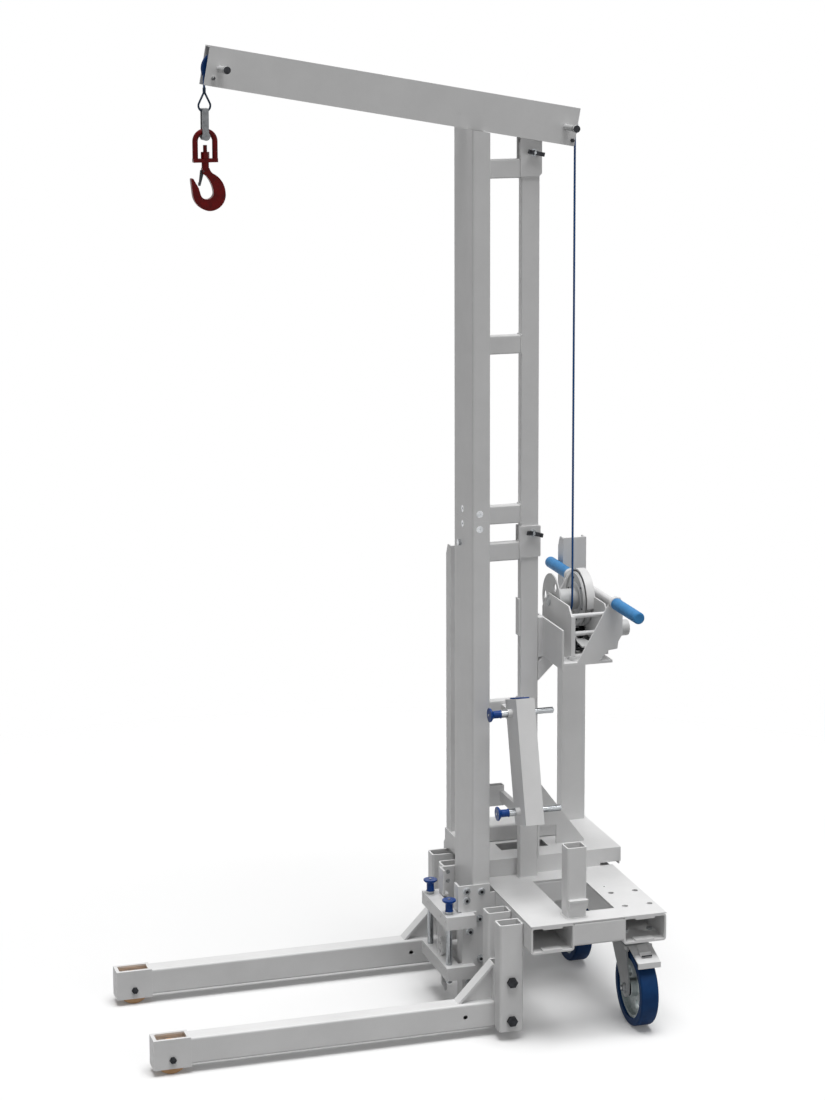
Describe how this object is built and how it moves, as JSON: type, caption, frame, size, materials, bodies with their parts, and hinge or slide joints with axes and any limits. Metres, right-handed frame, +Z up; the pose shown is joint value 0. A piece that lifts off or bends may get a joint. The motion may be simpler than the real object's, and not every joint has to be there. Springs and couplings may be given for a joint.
{
  "type": "material lift",
  "caption": "Wheeled material lift: ladder mast with a boom, hand winch and rope over sheaves to a swivel hook, on a base with fork pockets and roller legs.",
  "frame": {"origin": "middle of the part's footprint, on the floor under the wheels and leg rollers", "axes": "+X from the leg tips towards the winch and push bar, +Y from the lower deck's side towards the upper deck's side, +Z up"},
  "size_m": [1.368, 0.778, 2.547],
  "materials": {
    "white_paint": "satin",
    "winch_grey": "satin",
    "dark_steel": "satin",
    "zinc_steel": "satin",
    "blue_tyre": "matte",
    "cast_rim": "satin",
    "tan_nylon": "matte",
    "blue_knob": "gloss",
    "chrome_button": "polished",
    "blue_sheave": "satin",
    "blue_rope": "matte",
    "red_hook": "gloss",
    "blue_grip": "matte"
  },
  "bodies": {
    "chassis": {"base_frame": "white_paint", "lower_deck": "white_paint", "upper_deck": "white_paint", "rear_gusset": "white_paint", "rack_channels": "white_paint", "leg_uprights": "white_paint", "far_leg": "white_paint", "near_leg": "white_paint", "caster_plates": "zinc_steel", "frame_bolts": "dark_steel", "mast_lower": "white_paint", "mast_upper": "white_paint", "rear_tube": "white_paint", "ladder_rungs": "white_paint", "clamp_brackets": "white_paint", "mast_shoe": "white_paint", "yoke": "white_paint", "pin_rack": "white_paint", "stub_socket": "white_paint", "boom": "white_paint", "boom_pins": "dark_steel", "rope": "blue_rope", "winch_console": "white_paint", "winch_frame": "white_paint", "bar_grips": "blue_grip"},
    "near_swivel": {"near_caster_fork": "zinc_steel"},
    "far_swivel": {"far_caster_fork": "zinc_steel"},
    "near_wheel": {"near_tyre": "blue_tyre", "near_rim": "cast_rim"},
    "far_wheel": {"far_tyre": "blue_tyre", "far_rim": "cast_rim"},
    "near_pedal": {"near_brake_pedal": "zinc_steel"},
    "far_pedal": {"far_brake_pedal": "zinc_steel"},
    "near_roller": {"near_leg_roller": "tan_nylon"},
    "far_roller": {"far_leg_roller": "tan_nylon"},
    "joint_wing": {"joint_wing_bolt": "zinc_steel"},
    "boom_wing": {"boom_wing_bolt": "zinc_steel"},
    "front_pulley": {"front_sheave": "blue_sheave"},
    "rear_pulley": {"rear_sheave": "blue_sheave"},
    "hook_carriage": {"rope_drop": "blue_rope", "rope_eye": "blue_rope"},
    "shackle_link": {"shackle": "zinc_steel"},
    "bail_link": {"hook_bail": "red_hook"},
    "hook_body": {"hook": "red_hook"},
    "latch_blade": {"hook_latch": "dark_steel"},
    "drum": {"winch_drum": "winch_grey"},
    "crank_shaft": {"drive_shaft": "winch_grey"},
    "ratchet_pawl": {"winch_pawl": "dark_steel"},
    "near_lock_pin": {"near_yoke_pin": "blue_knob"},
    "near_lock_button": {"near_yoke_button": "chrome_button"},
    "far_lock_pin": {"far_yoke_pin": "blue_knob"},
    "far_lock_button": {"far_yoke_button": "chrome_button"},
    "upper_cross_pin": {"upper_rack_pin": "blue_knob"},
    "upper_cross_button": {"upper_rack_button": "chrome_button"},
    "lower_cross_pin": {"lower_rack_pin": "blue_knob"},
    "lower_cross_button": {"lower_rack_button": "chrome_button"},
    "near_spare": {"near_spare_pin": "blue_knob"},
    "near_spare_press": {"near_spare_button": "chrome_button"},
    "far_spare": {"far_spare_pin": "blue_knob"},
    "far_spare_press": {"far_spare_button": "chrome_button"}
  },
  "joints": [
    {"name": "near_caster_swivel", "type": "hinge", "parent": "chassis", "child": "near_swivel", "pos_m": [0.591, -0.234, 0.225], "axis": [0, 0, 1], "continuous": true},
    {"name": "near_wheel_spin", "type": "hinge", "parent": "near_swivel", "child": "near_wheel", "pos_m": [0.591, -0.289, 0.1], "axis": [1, 0, 0], "continuous": true},
    {"name": "near_brake_press", "type": "hinge", "parent": "near_swivel", "child": "near_pedal", "pos_m": [0.591, -0.296, 0.211], "axis": [1, 0, 0], "range_deg": [0, 12]},
    {"name": "near_roller_spin", "type": "hinge", "parent": "chassis", "child": "near_roller", "pos_m": [-0.636, -0.2325, 0.041], "axis": [0, 1, 0], "continuous": true},
    {"name": "far_caster_swivel", "type": "hinge", "parent": "chassis", "child": "far_swivel", "pos_m": [0.591, 0.26, 0.225], "axis": [0, 0, 1], "continuous": true},
    {"name": "far_wheel_spin", "type": "hinge", "parent": "far_swivel", "child": "far_wheel", "pos_m": [0.591, 0.205, 0.1], "axis": [1, 0, 0], "continuous": true},
    {"name": "far_brake_press", "type": "hinge", "parent": "far_swivel", "child": "far_pedal", "pos_m": [0.591, 0.198, 0.211], "axis": [1, 0, 0], "range_deg": [0, 12]},
    {"name": "far_roller_spin", "type": "hinge", "parent": "chassis", "child": "far_roller", "pos_m": [-0.636, 0.2585, 0.041], "axis": [0, 1, 0], "continuous": true},
    {"name": "joint_wing_turn", "type": "hinge", "parent": "chassis", "child": "joint_wing", "pos_m": [0.397, -0.007, 1.264], "axis": [0, 1, 0], "continuous": true},
    {"name": "boom_wing_turn", "type": "hinge", "parent": "chassis", "child": "boom_wing", "pos_m": [0.397, -0.007, 2.262], "axis": [0, 1, 0], "continuous": true},
    {"name": "near_yoke_pin_pull", "type": "slide", "parent": "chassis", "child": "near_lock_pin", "axis": [0, 0, 1], "range_m": [0, 0.19]},
    {"name": "near_yoke_button_press", "type": "slide", "parent": "near_lock_pin", "child": "near_lock_button", "axis": [0, 0, -1], "range_m": [0, 0.0025], "stiffness_N_per_m": 400, "springref_m": -0.002},
    {"name": "far_yoke_pin_pull", "type": "slide", "parent": "chassis", "child": "far_lock_pin", "axis": [0, 0, 1], "range_m": [0, 0.19]},
    {"name": "far_yoke_button_press", "type": "slide", "parent": "far_lock_pin", "child": "far_lock_button", "axis": [0, 0, -1], "range_m": [0, 0.0025], "stiffness_N_per_m": 400, "springref_m": -0.002},
    {"name": "upper_rack_pin_pull", "type": "slide", "parent": "chassis", "child": "upper_cross_pin", "axis": [-1, 0, 0], "range_m": [0, 0.16]},
    {"name": "upper_rack_button_press", "type": "slide", "parent": "upper_cross_pin", "child": "upper_cross_button", "axis": [1, 0, 0], "range_m": [0, 0.0025], "stiffness_N_per_m": 400, "springref_m": -0.002},
    {"name": "lower_rack_pin_pull", "type": "slide", "parent": "chassis", "child": "lower_cross_pin", "axis": [-1, 0, 0], "range_m": [0, 0.16]},
    {"name": "lower_rack_button_press", "type": "slide", "parent": "lower_cross_pin", "child": "lower_cross_button", "axis": [1, 0, 0], "range_m": [0, 0.0025], "stiffness_N_per_m": 400, "springref_m": -0.002},
    {"name": "near_spare_pin_pull", "type": "slide", "parent": "chassis", "child": "near_spare", "axis": [0, 0.2588, 0.9659], "range_m": [0, 0.095]},
    {"name": "near_spare_button_press", "type": "slide", "parent": "near_spare", "child": "near_spare_press", "axis": [0, -0.2588, -0.9659], "range_m": [0, 0.0025], "stiffness_N_per_m": 400, "springref_m": -0.002},
    {"name": "far_spare_pin_pull", "type": "slide", "parent": "chassis", "child": "far_spare", "axis": [0, 0.2588, 0.9659], "range_m": [0, 0.095]},
    {"name": "far_spare_button_press", "type": "slide", "parent": "far_spare", "child": "far_spare_press", "axis": [0, -0.2588, -0.9659], "range_m": [0, 0.0025], "stiffness_N_per_m": 400, "springref_m": -0.002},
    {"name": "hook_lower", "type": "slide", "parent": "chassis", "child": "hook_carriage", "axis": [0, 0, -1], "range_m": [0, 2.1], "deforming": ["rope_drop"]},
    {"name": "front_sheave_spin", "type": "hinge", "parent": "chassis", "child": "front_pulley", "pos_m": [-0.4265, 0.013, 2.48898], "axis": [0, 1, 0], "range_deg": [-3549, 10]},
    {"name": "rear_sheave_spin", "type": "hinge", "parent": "chassis", "child": "rear_pulley", "pos_m": [0.4804, 0.013, 2.32662], "axis": [0, 1, 0], "range_deg": [-3549, 10]},
    {"name": "drum_spin", "type": "hinge", "parent": "chassis", "child": "drum", "pos_m": [0.466, 0.044, 1.067], "axis": [1, 0, 0], "range_deg": [-3892, 10]},
    {"name": "crank_shaft_spin", "type": "hinge", "parent": "chassis", "child": "crank_shaft", "pos_m": [0.541, 0.044, 0.977], "axis": [1, 0, 0], "range_deg": [-40, 15566]},
    {"name": "pawl_lift", "type": "hinge", "parent": "chassis", "child": "ratchet_pawl", "pos_m": [0.558, -0.014, 0.965], "axis": [1, 0, 0], "range_deg": [0, 12]},
    {"name": "shackle_swing", "type": "hinge", "parent": "hook_carriage", "child": "shackle_link", "pos_m": [-0.4605, 0.013, 2.38248], "axis": [1, 0, 0], "range_deg": [-45, 45]},
    {"name": "bail_swing", "type": "hinge", "parent": "shackle_link", "child": "bail_link", "pos_m": [-0.4605, 0.013, 2.32198], "axis": [0, 1, 0], "range_deg": [-50, 50]},
    {"name": "hook_swivel", "type": "hinge", "parent": "bail_link", "child": "hook_body", "pos_m": [-0.4605, 0.013, 2.25728], "axis": [0, 0, 1], "continuous": true},
    {"name": "latch_press", "type": "hinge", "parent": "hook_body", "child": "latch_blade", "pos_m": [-0.4665, 0.013, 2.23528], "axis": [0, -1, 0], "range_deg": [0, 28], "stiffness_Nm_per_rad": 0.06, "springref_deg": -17.19}
  ],
  "couplings": [
    {"joint": "drum_spin", "follows": "hook_lower", "rad_per_m": -32.258},
    {"joint": "crank_shaft_spin", "follows": "hook_lower", "rad_per_m": 129.03},
    {"joint": "front_sheave_spin", "follows": "hook_lower", "rad_per_m": -29.412},
    {"joint": "rear_sheave_spin", "follows": "hook_lower", "rad_per_m": -29.412}
  ]
}
